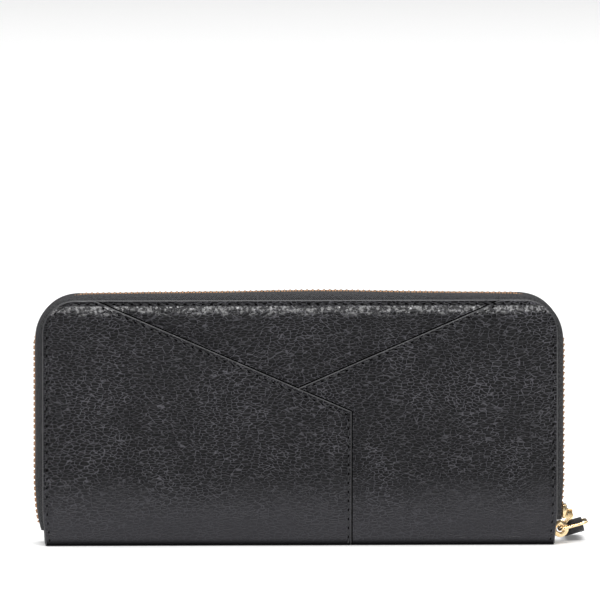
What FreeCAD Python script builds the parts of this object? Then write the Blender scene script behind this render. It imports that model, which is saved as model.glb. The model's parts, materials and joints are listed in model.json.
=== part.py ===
import FreeCAD, Part
import math
import os
import re
import Sketcher

# Long zip-around wallet. Millimetres. X runs along the wallet, -Y is the front, Z is up.
# The wallet stands on its spine: the spine's underside is Z = 0.

doc = FreeCAD.newDocument("long_wallet")
V = FreeCAD.Vector

SIZES = [
    # how far a cutter passes beyond a face, and the outline of the two covers
    ("slack", 1.0), ("half_length", 95.5), ("height", 91.2), ("corner", 12.5), ("hinge_z", 3.0),
    ("hinge_y", 9.5),
    # patchwork seams of the outer leather
    ("seam_x", 19.05), ("seam_top", 49.85), ("seam_slope", 0.434), ("fork_x", -0.9),
    # layers of a cover, each given by its inner depth from the middle plane and its thickness
    ("leather_in", 11.4), ("left_thick", 1.1), ("right_thick", 0.8), ("top_thick", 0.5),
    ("foam_in", 10.5), ("foam_thick", 0.9), ("foam_inset", 9.0), ("foam_low", 9.0),
    ("board_in", 9.7), ("board_thick", 0.8), ("board_inset", 4.0), ("board_low", 4.0),
    ("lining_in", 9.2), ("lining_thick", 0.5), ("lining_inset", 3.2), ("lining_low", 3.2),
    ("slip_in", 8.8), ("slip_thick", 0.4), ("slip_half", 90.5), ("slip_top", 84.0), ("slip_low", 4.5),
    ("card_in", 7.2), ("card_thick", 0.4), ("card_half", 88.5), ("card_low", 6.0),
    ("card_top", 76.0), ("card_step", 9.0),
    # spine layers
    ("spine_leather", 1.1), ("spine_step", 0.3), ("spine_board", 0.8), ("spine_lining", 0.5),
    ("spine_board_gap", 0.5), ("spine_lining_gap", 0.2),
    # main zip: tape path around three sides, tape section, teeth
    ("zip_x", 97.4), ("zip_top", 92.8), ("zip_corner", 17.0), ("tape_thick", 0.5),
    ("tape_margin", 9.0), ("tape_arc", 6.25), ("tape_edge", 1.3), ("tape_low_left", 5.5),
    ("tape_low_right", 9.1), ("lean_z", 17.0), ("lean_radius", 41.0),
    ("pitch", 2.1), ("tooth", 0.9), ("tooth_wide", 2.0), ("tooth_over", 0.6), ("tooth_back", 3.0),
    ("teeth_start", 3.15),
    ("teeth_low", 12.0), ("stop_low", 10.4), ("stop_long", 1.2), ("stop_edge", 1.0),
    # main slider
    ("slider_low", 9.2), ("slider_high", 14.2), ("slider_plate", 1.0), ("slider_gap", 2.5),
    ("slider_half", 3.85), ("flange", 0.7), ("flange_lip", 0.4), ("slot_in", 0.8), ("slot_out", 0.7),
    ("post_half", 0.8), ("post_high", 10.2),
    ("crown_half", 1.0), ("crown_low", 9.5), ("crown_high", 12.3), ("crown_out", 2.2),
    ("crown_wall", 0.5),
    # pull chain
    ("bail_in", 4.05), ("bail_thick", 0.5), ("pin_x", 100.55), ("pin_z", 10.85), ("pin_radius", 0.4),
    ("stub_x", 97.35), ("stub_z", 6.3), ("stub_radius", 0.35), ("stub_over", 0.5), ("lobe", 0.6),
    ("arm_root_x", 0.6), ("arm_root_z", 1.6),
    # the clasp's quarter disc, corner by corner from its pin: heel, tip, bow, toe, foot, sole
    ("heel_x", 1.95), ("heel_z", 1.15), ("tip_x", 0.75), ("tip_z", 1.55), ("bow_x", 0.55), ("bow_z", 0.75),
    ("toe_x", 1.25), ("toe_z", 0.85), ("foot_x", 0.65), ("foot_z", 1.95), ("sole_x", 0.75), ("sole_z", 2.15),
    # round link, long ring and leather tab
    ("link_x", 96.7), ("link_z", 5.65), ("link_y", 6.5), ("link_out", 3.15), ("link_hole", 1.35),
    ("link_thick", 1.3),
    ("ring_x", 96.45), ("ring_z", 5.3), ("ring_long", 10.5), ("ring_near", 8.6), ("ring_far", 4.6),
    ("ring_wire", 0.5), ("ring_bend", 1.6), ("ring_tilt", 15.7),
    ("tab_start", 1.8), ("tab_wide", 7.5), ("tab_long", 30.0), ("tab_thick", 2.4), ("tab_eye", 0.85),
    ("tab_round", 0.5), ("tab_slope", 8.2),
    # coin pocket in the middle
    ("coin_in", 2.15), ("coin_wall", 0.55), ("coin_half", 84.0), ("coin_top", 76.0), ("coin_side", 0.8),
    ("coin_tape_low", 70.0), ("coin_tape_z", 80.0), ("coin_tape", 0.4), ("coin_edge", 0.9),
    ("coin_tape_half", 82.0), ("coin_teeth_half", 76.0), ("coin_tooth_back", 1.4),
    ("coin_tooth_over", 0.35), ("coin_tooth_high", 1.3),
    ("coin_slider_long", 7.0), ("coin_slider_x", -77.5), ("coin_plate", 0.6), ("coin_gap", 1.8),
    ("coin_low_half", 1.4), ("coin_high_half", 2.0), ("coin_post_half", 0.4),
    ("coin_post_long", 1.0), ("coin_crown_off", 1.5), ("coin_crown_half", 0.4), ("coin_crown_wide", 0.7),
    ("coin_crown_high", 1.6), ("coin_crown_cap", 0.6),
    ("coin_pull_long", 9.5), ("coin_pull_wide", 3.4), ("coin_pull_thick", 0.7), ("coin_pin", 0.35),
    ("coin_arm", 0.6), ("coin_arm_back", 0.5), ("coin_arm_long", 4.0), ("coin_plate_start", 3.4),
    # side gussets
    ("gusset_in", 82.0), ("gusset_out", 90.0), ("gusset_low", 4.0), ("gusset_high", 82.0),
    ("gusset_thick", 0.35), ("gusset_near", 2.9), ("gusset_far", 7.0),
]

sheet = doc.addObject("Spreadsheet::Sheet", "Sizes")
for row, (alias, size) in enumerate(SIZES, start=1):
    sheet.set(f"A{row}", alias)
    sheet.set(f"B{row}", str(size))
    sheet.setAlias(f"B{row}", alias)
doc.recompute()
ALIASES = {alias for alias, _ in SIZES}

# The smallest length that counts, and the turn below which a stretch counts as straight.
NUDGE = 1e-6
STRAIGHT = 1e-4


def bound(text):
    """The expression with every size alias pointed at the sheet."""
    return re.sub(r"[a-z][a-z_]*", lambda m: "Sizes." + m[0] if m[0] in ALIASES else m[0], str(text))


def value(text):
    """The number that an expression of sizes gives."""
    return float(sheet.evalExpression(bound(text)))


def finished(label, obj):
    obj.Label = label
    nodes.append(obj)
    return obj


nodes = []


# ---------------------------------------------------------------- building blocks

def sketch_on(body, name, role, offset, points):
    """A closed outline of straight lines, every corner tied to expressions of the sizes."""
    sketch = body.newObject("Sketcher::SketchObject", name)
    plane = [f for f in body.Origin.OriginFeatures if f.Role == role][0]
    sketch.AttachmentSupport = (plane, [""])
    sketch.MapMode = "FlatFace"
    sketch.setExpression("AttachmentOffset.Base.z", bound(offset))
    spots = [V(value(x), value(y), 0) for x, y in points]
    count = len(spots)
    for i in range(count):
        sketch.addGeometry(Part.LineSegment(spots[i], spots[(i + 1) % count]))
    for i in range(count):
        sketch.addConstraint(Sketcher.Constraint("Coincident", i, 2, (i + 1) % count, 1))
    for i, (x, y) in enumerate(points):
        for kind, text in (("DistanceX", x), ("DistanceY", y)):
            k = sketch.addConstraint(Sketcher.Constraint(kind, -1, 1, i, 1, value(text)))
            sketch.setExpression(f"Constraints[{k}]", bound(text))
    doc.recompute()
    return sketch


def padded_outline(label, role, offset, points, thick, corner=None):
    """An outline padded by a thickness. A rounded corner is (radius, lowest Z, lowest |X|)."""
    body = doc.addObject("PartDesign::Body", label)
    profile = sketch_on(body, label + "_outline", role, offset, points)
    pad = body.newObject("PartDesign::Pad", label + "_pad")
    pad.Profile = profile
    pad.setExpression("Length", bound(thick))
    profile.Visibility = False
    doc.recompute()
    if corner:
        radius, low_z, low_x = corner
        names = []
        for i, edge in enumerate(pad.Shape.Edges, start=1):
            box = edge.BoundBox
            runs_through = box.XLength < NUDGE and box.ZLength < NUDGE
            if runs_through and box.ZMin > value(low_z) and abs(box.XMin) > value(low_x):
                names.append(f"Edge{i}")
        fillet = body.newObject("PartDesign::Fillet", label + "_corners")
        fillet.Base = (pad, names)
        fillet.setExpression("Radius", bound(radius))
        doc.recompute()
    return finished(label, body)


def cover_layer(cover, name, points, inner, thick, corner=None):
    """A layer of a cover, at a depth measured from the wallet's middle plane."""
    offset = inner if cover == "front" else f"-({inner}+{thick})"
    return padded_outline(f"{cover}_{name}", "XZ_Plane", offset, points, thick, corner)


def box(label, x, y, z, size, done=True):
    """A block from its low corner and its size, all as expressions."""
    block = doc.addObject("Part::Box", label)
    for axis, text in zip("xyz", (x, y, z)):
        block.setExpression(f"Placement.Base.{axis}", bound(text))
    for name, text in zip(("Length", "Width", "Height"), size):
        block.setExpression(name, bound(text))
    doc.recompute()
    return finished(label, block) if done else block


def cylinder(label, base, radius, length, turn, angle=None):
    rod = doc.addObject("Part::Cylinder", label)
    rod.Placement.Rotation = turn
    for axis, text in zip("xyz", base):
        rod.setExpression(f"Placement.Base.{axis}", bound(text))
    rod.setExpression("Radius", bound(radius))
    rod.setExpression("Height", bound(length))
    if angle:
        rod.Angle = angle
    doc.recompute()
    return rod


def joined(label, parts, done=True):
    fuse = doc.addObject("Part::MultiFuse", label)
    fuse.Shapes = parts
    doc.recompute()
    return finished(label, fuse) if done else fuse


def cut(label, base, tool, done=True):
    piece = doc.addObject("Part::Cut", label)
    piece.Base = base
    piece.Tool = tool
    doc.recompute()
    return finished(label, piece) if done else piece


def shape_node(label, shape):
    node = doc.addObject("Part::Feature", label)
    node.Shape = shape
    return finished(label, node)


def face_of(points):
    spots = [V(*p) for p in points]
    return Part.Face(Part.makePolygon(spots + spots[:1]))


ALONG_Y = FreeCAD.Rotation(V(1, 0, 0), -90)
HALF_TURN = 180.0
QUARTER = 90.0

# ---------------------------------------------------------------- outer leather, padding and lining

left_top = "(seam_x-(height-seam_top)/seam_slope)"
fork_z = "(seam_top+(seam_x-fork_x)*seam_slope)"
right_top = f"(fork_x+(height-{fork_z})/seam_slope)"

LEFT_PATCH = [("-half_length", "hinge_z"), ("seam_x", "hinge_z"), ("seam_x", "seam_top"),
              (left_top, "height"), ("-half_length", "height")]
RIGHT_PATCH = [("seam_x", "hinge_z"), ("half_length", "hinge_z"), ("half_length", "height"),
               (right_top, "height"), ("fork_x", fork_z), ("seam_x", "seam_top")]
TOP_PATCH = [("fork_x", fork_z), (right_top, "height"), (left_top, "height")]


def sheet_outline(half, low, high):
    return [(f"-({half})", low), (half, low), (half, high), (f"-({half})", high)]


def inset_layer(cover, part):
    inset = part + "_inset"
    return cover_layer(cover, part, sheet_outline(f"half_length-{inset}", part + "_low", f"height-{inset}"),
                       part + "_in", part + "_thick",
                       (f"corner-{inset}", "height-corner", "half_length-corner-slack"))


CARD_POCKETS = 4
for cover in ("front", "rear"):
    outer_corner = ("corner", "height-slack", "half_length-slack")
    cover_layer(cover, "panel_left", LEFT_PATCH, "leather_in", "left_thick", outer_corner)
    cover_layer(cover, "panel_right", RIGHT_PATCH, "leather_in", "right_thick", outer_corner)
    cover_layer(cover, "panel_top", TOP_PATCH, "leather_in", "top_thick")
    for part in ("foam", "board", "lining"):
        inset_layer(cover, part)
    cover_layer(cover, "slip_pocket", sheet_outline("slip_half", "slip_low", "slip_top"),
                "slip_in", "slip_thick", ("corner/2", "slip_top-slack", "slip_half-slack"))
    for k in range(1, CARD_POCKETS + 1):
        cover_layer(cover, f"card_pocket_{k}",
                    sheet_outline("card_half", "card_low", f"card_top-card_step*{k - 1}"),
                    f"slip_in-card_thick*{k}", "card_thick")

# ---------------------------------------------------------------- spine and creases

box("spine_leather_left", "-half_length", "-hinge_y", "0",
    ("half_length+seam_x", "hinge_y*2", "spine_leather"))
box("spine_leather_right", "seam_x", "-hinge_y", "spine_step",
    ("half_length-seam_x", "hinge_y*2", "spine_leather-spine_step"))
box("spine_board", "-(half_length-board_inset)", "-(hinge_y-spine_board_gap)", "spine_leather",
    ("(half_length-board_inset)*2", "(hinge_y-spine_board_gap)*2", "spine_board"))
box("spine_lining", "-(half_length-lining_inset)", "-(hinge_y-spine_lining_gap)", "spine_leather+spine_board",
    ("(half_length-lining_inset)*2", "(hinge_y-spine_lining_gap)*2", "spine_lining"))

# Each crease is a quarter tube about its cover's hinge line, thinner right of the seam.
QUARTER_TUBE_TURNS = {"front": FreeCAD.Rotation(V(0, -1, 0), V(0, 0, -1), V(1, 0, 0), "ZXY"),
                      "rear": FreeCAD.Rotation(V(0, 0, -1), V(0, 1, 0), V(1, 0, 0), "ZXY")}
for cover, turn in QUARTER_TUBE_TURNS.items():
    y = "-hinge_y" if cover == "front" else "hinge_y"
    left = cylinder(f"{cover}_crease_left", ("-half_length", y, "hinge_z"), "hinge_z",
                    "half_length+seam_x", turn, QUARTER)
    right = cylinder(f"{cover}_crease_right", ("seam_x", y, "hinge_z"), "hinge_z-spine_step",
                     "half_length-seam_x", turn, QUARTER)
    bore = cylinder(f"{cover}_crease_bore", ("-half_length-slack", y, "hinge_z"), "hinge_z-spine_leather",
                    "half_length*2+slack*2", turn)
    cut(f"{cover}_crease", joined(f"{cover}_crease_solid", [left, right], done=False), bore)

# ---------------------------------------------------------------- main zip

zip_x, zip_top, zip_corner = value("zip_x"), value("zip_top"), value("zip_corner")
arc_x, arc_z = zip_x - zip_corner, zip_top - zip_corner
lean_z, lean_radius = value("lean_z"), value("lean_radius")
lean_angle = math.asin((lean_z - value("tape_low_left")) / lean_radius)


def zip_path():
    """Stretches of the zip's path as (length, point and outward direction at a distance along it)."""
    def lean(s):
        a = lean_angle - s / lean_radius
        centre = V(-zip_x + lean_radius, 0, lean_z)
        out = V(-math.cos(a), 0, -math.sin(a))
        return centre + out * lean_radius, out

    def arc(centre, start):
        def at(s):
            a = start - s / zip_corner
            out = V(math.cos(a), 0, math.sin(a))
            return centre + out * zip_corner, out
        return at

    quarter = zip_corner * math.pi / 2
    return [
        (lean_radius * lean_angle, lean),
        (arc_z - lean_z, lambda s: (V(-zip_x, 0, lean_z + s), V(-1, 0, 0))),
        (quarter, arc(V(-arc_x, 0, arc_z), math.pi)),
        (2 * arc_x, lambda s: (V(-arc_x + s, 0, zip_top), V(0, 0, 1))),
        (quarter, arc(V(arc_x, 0, arc_z), math.pi / 2)),
        (arc_z - value("tape_low_right"), lambda s: (V(zip_x, 0, arc_z - s), V(1, 0, 0))),
    ]


def on_path(s):
    for length, at in zip_path():
        if s <= length:
            return at(s)
        s -= length
    return at(length)


PATH_LENGTH = sum(length for length, _ in zip_path())


def tape_section(side, start):
    """Cross-section at a distance along the path: flat margin, quarter arc, flat edge inward."""
    point, out = on_path(start + NUDGE)
    thick, radius = value("tape_thick"), value("tape_arc")
    margin, depth, edge = value("tape_margin"), value("leather_in"), value("tape_edge")

    def spot(w, y):
        return point + out * w + V(0, side * y, 0)

    def quarter_arc(r):
        slant = r * math.sqrt(0.5)
        return (spot(-radius, depth - radius + r), spot(-radius + slant, depth - radius + slant),
                spot(-radius + r, depth - radius))

    outer, inner = quarter_arc(radius), quarter_arc(radius - thick)
    corners = [spot(-margin, depth - thick), spot(-margin, depth)]
    ends = [spot(0, edge), spot(-thick, edge)]
    edges = [
        Part.makeLine(corners[0], corners[1]), Part.makeLine(corners[1], outer[0]),
        Part.Arc(*outer).toShape(), Part.makeLine(outer[2], ends[0]),
        Part.makeLine(ends[0], ends[1]), Part.makeLine(ends[1], inner[2]),
        Part.Arc(inner[2], inner[1], inner[0]).toShape(), Part.makeLine(inner[0], corners[0]),
    ]
    return Part.Wire(edges)


def tape_shape(side, first, last):
    """The tape's section carried along stretches first to last of the path."""
    stretches = zip_path()
    start = sum(length for length, _ in stretches[:first])
    solids, face = [], Part.Face(tape_section(side, start))
    for length, _ in stretches[first:last + 1]:
        a, out_a = on_path(start + NUDGE)
        b, out_b = on_path(start + length - NUDGE)
        if (out_a - out_b).Length < STRAIGHT:
            solid = face.extrude(b - a)
            step = FreeCAD.Placement(b - a, FreeCAD.Rotation())
        else:
            angle = math.degrees(math.acos(max(-1.0, min(1.0, out_a.dot(out_b)))))
            radius = (b - a).Length / (2 * math.sin(math.radians(angle) / 2))
            centre = a - out_a * radius
            solid = face.revolve(centre, V(0, 1, 0), angle)
            turn = FreeCAD.Rotation(V(0, 1, 0), angle)
            step = FreeCAD.Placement(V(0, 0, 0), turn, centre)
        solids.append(solid)
        face = face.transformed(step.toMatrix())
        start += length
    whole = solids[0]
    for solid in solids[1:]:
        whole = whole.fuse(solid)
    return whole.removeSplitter()


def tooth_solid(side):
    """One tooth, clamped over the tape's edge, standing at the origin with +X outward."""
    thick, wide = value("tape_thick"), value("tooth_wide")
    high, low = (wide - thick) / 2, -(wide + thick) / 2
    over, back, edge = value("tooth_over"), value("tooth_back"), value("tape_edge")
    profile = [(low, -over), (high, -over), (high, back), (0, back), (0, edge), (-thick, edge),
               (-thick, back), (low, back)]
    points = [(x, side * y, -value("tooth") / 2) for x, y in profile]
    return face_of(points).extrude(V(0, 0, value("tooth")))


def placed_on_path(shape, s):
    point, out = on_path(s)
    along = FreeCAD.Rotation(out, V(0, 1, 0), out.cross(V(0, 1, 0)), "ZXY")
    copy = shape.copy()
    copy.Placement = FreeCAD.Placement(point, along)
    return copy


def stop_solid(side):
    """The end stop of a tooth row: a longer clamp that keeps clear of the slider's post."""
    thick, wide = value("tape_thick"), value("tooth_wide")
    high, low = (wide - thick) / 2, -(wide + thick) / 2
    near, back, edge = value("stop_edge"), value("tooth_back"), value("tape_edge")
    profile = [(low, near), (high, near), (high, back), (0, back), (0, edge), (-thick, edge),
               (-thick, back), (low, back)]
    points = [(x, side * y, -value("stop_long") / 2) for x, y in profile]
    return face_of(points).extrude(V(0, 0, value("stop_long")))


SIDES = {"front": -1, "rear": 1}
LAST_CORNER = 4
RIGHT_SIDE = 5
first_tooth = value("teeth_start")
last_tooth = PATH_LENGTH - value("teeth_low-tape_low_right")
stop_at = PATH_LENGTH - value("stop_low+stop_long/2-tape_low_right")
for cover, side in SIDES.items():
    shape_node(f"{cover}_zip_tape", tape_shape(side, 0, LAST_CORNER))
    shape_node(f"{cover}_zip_tape_side", tape_shape(side, RIGHT_SIDE, RIGHT_SIDE))
    s = first_tooth + (0 if side < 0 else value("pitch/2"))
    row = [placed_on_path(stop_solid(side), stop_at)]
    while s <= last_tooth:
        row.append(placed_on_path(tooth_solid(side), s))
        s += value("pitch")
    shape_node(f"{cover}_zip_teeth", Part.makeCompound(row))

# ---------------------------------------------------------------- main slider and its pull

mid = "(zip_x-tape_thick/2)"
length = "slider_high-slider_low"
inner_x = f"{mid}-slider_gap/2-slider_plate"
outer_x = f"{mid}+slider_gap/2"
slider_parts = [
    box("slider_inner_plate", inner_x, "-slider_half", "slider_low",
        ("slider_plate", "slider_half*2", length), done=False),
    box("slider_outer_plate", outer_x, "-slider_half", "slider_low",
        ("slider_plate", "slider_half*2", length), done=False),
    box("slider_post", f"{mid}-slider_gap/2", "-post_half", "slider_low",
        ("slider_gap", "post_half*2", "post_high-slider_low"), done=False),
]
for cover, side in SIDES.items():
    low_y = "slider_half-flange" if side > 0 else "-slider_half"
    slider_parts.append(box(f"slider_{cover}_inner_flange", inner_x, low_y, "slider_low",
                            (f"(zip_x-slot_in)-({inner_x})", "flange", length), done=False))
    slider_parts.append(box(f"slider_{cover}_outer_flange", "zip_x+slot_out-flange_lip", low_y, "slider_low",
                            (f"{outer_x}+slider_plate-(zip_x+slot_out-flange_lip)", "flange", length),
                            done=False))
joined("zip_slider", slider_parts)

crown_x = f"({outer_x}+slider_plate)"
crown = box("crown_block", crown_x, "-crown_half", "crown_low",
            ("crown_out", "crown_half*2", "crown_high-crown_low"), done=False)
window = box("crown_window", crown_x, "-crown_half-slack", "crown_low+crown_wall",
             ("crown_out-crown_wall", "(crown_half+slack)*2", "crown_high-crown_low-crown_wall*2"),
             done=False)
cut("slider_crown", crown, window)

# The bail: a quarter-disc cheek each side of the slider on one pin, and an arm with a stub in front.
pin_x, pin_z = value("pin_x"), value("pin_z")
bail_in, bail_thick = value("bail_in"), value("bail_thick")


def disc_face(y):
    def spot(corner, way_x, way_z):
        return V(pin_x + way_x * value(corner + "_x"), y, pin_z + way_z * value(corner + "_z"))
    heel, tip, bow = spot("heel", -1, -1), spot("tip", -1, 1), spot("bow", 1, 1)
    toe, foot, sole = spot("toe", 1, -1), spot("foot", 1, -1), spot("sole", -1, -1)
    edges = [Part.makeLine(heel, tip), Part.Arc(tip, bow, toe).toShape(), Part.makeLine(toe, foot),
             Part.makeLine(foot, sole), Part.makeLine(sole, heel)]
    return Part.Face(Part.Wire(edges))


stub = V(value("stub_x"), 0, value("stub_z"))
arm_from = V(pin_x - value("arm_root_x"), 0, pin_z - value("arm_root_z"))
arm_way = stub - arm_from
across = V(-arm_way.z, 0, arm_way.x).normalize() * value("lobe")
front_y = -(bail_in + bail_thick)
arm = face_of([(p.x, front_y, p.z) for p in (arm_from + across, stub + across, stub - across,
                                            arm_from - across)]).extrude(V(0, bail_thick, 0))
lobe = Part.makeCylinder(value("lobe"), bail_thick, V(stub.x, front_y, stub.z), V(0, 1, 0))
stub_reach = value("link_y+link_thick/2+stub_over")
stub_pin = Part.makeCylinder(value("stub_radius"), stub_reach - bail_in, V(stub.x, -stub_reach, stub.z),
                             V(0, 1, 0))
pin = Part.makeCylinder(value("pin_radius"), 2 * bail_in + bail_thick, V(pin_x, -bail_in - bail_thick / 2,
                        pin_z), V(0, 1, 0))
bail = disc_face(front_y).extrude(V(0, bail_thick, 0))
for piece in (disc_face(bail_in).extrude(V(0, bail_thick, 0)), arm, lobe, stub_pin, pin):
    bail = bail.fuse(piece)
shape_node("pull_bail", bail.removeSplitter())

link_outer = cylinder("link_outer", ("link_x", "-link_y-link_thick/2", "link_z"), "link_out",
                      "link_thick", ALONG_Y)
link_bore = cylinder("link_bore", ("link_x", "-link_y-link_thick/2-slack", "link_z"), "link_hole",
                     "link_thick+slack*2", ALONG_Y)
cut("pull_link", link_outer, link_bore)


def ring_shape():
    """The long ring: a round wire bent to a rounded rectangle, lying nearly flat."""
    wire, bend, long_side = value("ring_wire"), value("ring_bend"), value("ring_long")
    near, far = -value("ring_near"), value("ring_far")
    solids = []
    runs = [((bend, near), (long_side - bend, near)), ((long_side, near + bend), (long_side, far - bend)),
            ((long_side - bend, far), (bend, far)), ((0, far - bend), (0, near + bend))]
    for (x0, y0), (x1, y1) in runs:
        start, way = V(x0, y0, 0), V(x1 - x0, y1 - y0, 0)
        solids.append(Part.makeCylinder(wire, way.Length, start, way))
    for x, y, start in ((bend, near + bend, HALF_TURN), (long_side - bend, near + bend, -QUARTER),
                        (long_side - bend, far - bend, 0), (bend, far - bend, QUARTER)):
        torus = Part.makeTorus(bend, wire, V(0, 0, 0), V(0, 0, 1), -HALF_TURN, HALF_TURN, QUARTER)
        torus.Placement = FreeCAD.Placement(V(x, y, 0), FreeCAD.Rotation(V(0, 0, 1), start))
        solids.append(torus)
    whole = solids[0]
    for solid in solids[1:]:
        whole = whole.fuse(solid)
    return whole


ring_place = FreeCAD.Placement(V(value("ring_x"), 0, value("ring_z")),
                               FreeCAD.Rotation(V(0, 1, 0), -value("ring_tilt")))
ring = ring_shape()
ring.Placement = ring_place
shape_node("pull_ring", ring)

# The leather tab hangs on the ring's far bar and slopes down behind the wallet.
tab_wide, tab_thick, tab_long = value("tab_wide"), value("tab_thick"), value("tab_long")
tab = Part.makeBox(tab_wide, tab_long, tab_thick, V(0, 0, -tab_thick / 2))
tab = tab.fuse(Part.makeCylinder(tab_thick / 2 + value("tab_round"), tab_wide, V(0, 0, 0), V(1, 0, 0)))
slack = value("slack")
tab = tab.cut(Part.makeCylinder(value("tab_eye"), tab_wide + 2 * slack, V(-slack, 0, 0), V(1, 0, 0)))
slope = FreeCAD.Placement(V(value("tab_start"), value("ring_far"), 0),
                          FreeCAD.Rotation(V(1, 0, 0), -value("tab_slope")))
tab.Placement = ring_place.multiply(slope)
shape_node("pull_tab", tab.removeSplitter())

# ---------------------------------------------------------------- coin pocket

floor = "spine_leather+spine_board+spine_lining"
for cover, side in SIDES.items():
    low_y = "coin_in" if side > 0 else "-(coin_in+coin_wall)"
    box(f"coin_wall_{cover}", "-coin_half", low_y, floor,
        ("coin_half*2", "coin_wall", f"coin_top-({floor})"))
for end, x in (("left", "-coin_half"), ("right", "coin_half-coin_side")):
    box(f"coin_side_{end}", x, "-coin_in", floor, ("coin_side", "coin_in*2", f"coin_top-({floor})"))

for cover, side in SIDES.items():
    standing_y = "coin_in-coin_tape" if side > 0 else "-coin_in"
    lying_y = "coin_edge" if side > 0 else "-coin_in"
    standing = box(f"coin_tape_{cover}_standing", "-coin_tape_half", standing_y, "coin_tape_low",
                   ("coin_tape_half*2", "coin_tape", "coin_tape_z-coin_tape_low"), done=False)
    lying = box(f"coin_tape_{cover}_lying", "-coin_tape_half", lying_y, "coin_tape_z",
                ("coin_tape_half*2", "coin_in-coin_edge", "coin_tape"), done=False)
    joined(f"coin_tape_{cover}", [standing, lying])

    thick, high = value("coin_tape"), value("coin_tooth_high")
    back, over, edge = value("coin_tooth_back"), value("coin_tooth_over"), value("coin_edge")
    low, top = (thick - high) / 2, (thick + high) / 2
    profile = [(-over, low), (back, low), (back, 0), (edge, 0), (edge, thick), (back, thick),
               (back, top), (-over, top)]
    tooth = face_of([(0, side * y, z) for y, z in profile]).extrude(V(value("tooth"), 0, 0))
    x = -value("coin_teeth_half") + (value("pitch/2") if side > 0 else 0)
    teeth = []
    while x <= value("coin_teeth_half"):
        copy = tooth.copy()
        copy.Placement.Base = V(x, 0, value("coin_tape_z"))
        teeth.append(copy)
        x += value("pitch")
    shape_node(f"coin_teeth_{cover}", Part.makeCompound(teeth))

coin_mid = "(coin_tape_z+coin_tape/2)"
coin_slider_parts = [
    box("coin_low_plate", "coin_slider_x-coin_slider_long/2", "-coin_low_half",
        f"{coin_mid}-coin_gap/2-coin_plate", ("coin_slider_long", "coin_low_half*2", "coin_plate"),
        done=False),
    box("coin_high_plate", "coin_slider_x-coin_slider_long/2", "-coin_high_half",
        f"{coin_mid}+coin_gap/2", ("coin_slider_long", "coin_high_half*2", "coin_plate"), done=False),
    box("coin_post", "coin_slider_x-coin_slider_long/2", "-coin_post_half", f"{coin_mid}-coin_gap/2",
        ("coin_post_long", "coin_post_half*2", "coin_gap"), done=False),
]
crown_z = f"({coin_mid}+coin_gap/2+coin_plate)"
for end in (-1, 1):
    coin_slider_parts.append(box(f"coin_crown_{'left' if end < 0 else 'right'}",
                                 f"coin_slider_x+coin_crown_off*({end})-coin_crown_half",
                                 "-coin_crown_wide", crown_z,
                                 ("coin_crown_half*2", "coin_crown_wide*2", "coin_crown_high"),
                                 done=False))
coin_slider_parts.append(box("coin_crown_top", "coin_slider_x-coin_crown_off-coin_crown_half",
                             "-coin_crown_wide", f"{crown_z}+coin_crown_high",
                             ("(coin_crown_off+coin_crown_half)*2", "coin_crown_wide*2", "coin_crown_cap"),
                             done=False))
joined("coin_slider", coin_slider_parts)

pull_z = f"({crown_z}+coin_crown_high/2)"
coin_pin = cylinder("coin_pull_pin", ("coin_slider_x", "-coin_pull_wide/2", pull_z), "coin_pin",
                    "coin_pull_wide", ALONG_Y)
coin_arms = [coin_pin]
for end, y in (("front", "-coin_pull_wide/2"), ("rear", "coin_pull_wide/2-coin_arm")):
    coin_arms.append(box(f"coin_pull_arm_{end}", "coin_slider_x-coin_arm_back", y,
                         f"{pull_z}-coin_pull_thick/2", ("coin_arm_long", "coin_arm", "coin_pull_thick"),
                         done=False))
coin_arms.append(box("coin_pull_plate", "coin_slider_x+coin_plate_start", "-coin_pull_wide/2",
                     f"{pull_z}-coin_pull_thick/2",
                     ("coin_pull_long-coin_plate_start", "coin_pull_wide", "coin_pull_thick"), done=False))
joined("coin_pull", coin_arms)

# ---------------------------------------------------------------- side gussets

RUNS = 4
for cover, side in SIDES.items():
    for end, hand in (("left", -1), ("right", 1)):
        gap = f"(gusset_far-gusset_near)/{RUNS - 1}"
        pieces = []
        for k in range(RUNS):
            depth = f"(gusset_near+{gap}*{k})"
            run_y = f"{depth}*({side})-gusset_thick/2"
            run_x = "gusset_in" if hand > 0 else "-gusset_out"
            name = f"{cover}_gusset_{end}"
            pieces.append(box(f"{name}_run_{k}", run_x, run_y, "gusset_low",
                              ("gusset_out-gusset_in", "gusset_thick", "gusset_high-gusset_low"),
                              done=False))
            if k == RUNS - 1:
                continue
            at_outer = k % 2 == 0
            fold_x = "gusset_out-gusset_thick" if at_outer else "gusset_in"
            if hand < 0:
                fold_x = "-gusset_out" if at_outer else "-(gusset_in+gusset_thick)"
            fold_y = f"{depth}*({side})" if side > 0 else f"({depth}+{gap})*({side})"
            pieces.append(box(f"{name}_fold_{k}", fold_x, fold_y, "gusset_low",
                              ("gusset_thick", gap, "gusset_high-gusset_low"), done=False))
        joined(name, pieces)

# ---------------------------------------------------------------- checks and export

doc.recompute()
os.makedirs("parts", exist_ok=True)
for obj in doc.Objects:
    if any(state in ("Invalid", "Error") for state in obj.State):
        raise RuntimeError(f"{obj.Label} did not rebuild: {obj.State}")
for node in nodes:
    if node.Shape.isNull() or not node.Shape.isValid() or node.Shape.Volume <= 0:
        raise RuntimeError(f"{node.Label} is not a sound solid")
    node.Shape.exportStep(f"parts/{node.Label}.step")
    b = node.Shape.BoundBox
    print(f"{node.Label:24s} x {b.XMin:7.2f} {b.XMax:7.2f}  y {b.YMin:7.2f} {b.YMax:7.2f}"
          f"  z {b.ZMin:7.2f} {b.ZMax:7.2f}  vol {node.Shape.Volume:9.1f} solids {len(node.Shape.Solids)}")
print(len(nodes), "nodes")
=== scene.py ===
import bpy
import bmesh
import json
import math
from mathutils import Matrix, Vector, noise


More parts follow.
